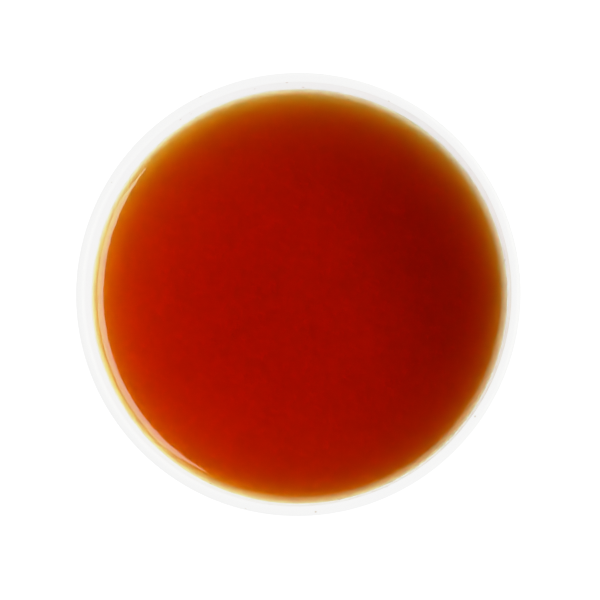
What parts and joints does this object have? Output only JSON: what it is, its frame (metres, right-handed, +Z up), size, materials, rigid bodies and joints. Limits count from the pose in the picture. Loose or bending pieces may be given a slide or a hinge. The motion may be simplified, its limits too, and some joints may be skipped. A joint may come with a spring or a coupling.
{
  "type": "cup of brewed tea",
  "caption": "Round handleless white porcelain cup on a foot ring, filled to just under its rim with clear red-brown brewed tea.",
  "frame": {"origin": "middle of the foot ring's standing face, on the table", "axes": "+Z up along the cup's axis of rotation, X and Y level"},
  "size_m": [0.095, 0.095, 0.052],
  "materials": {
    "porcelain": "clear gloss glaze over white porcelain, bare on the foot ring's standing face",
    "brewed_tea": "clear red-brown liquid with a still, mirror-smooth surface"
  },
  "bodies": {
    "root": {"cup": "porcelain", "tea": "brewed_tea"}
  },
  "joints": []
}
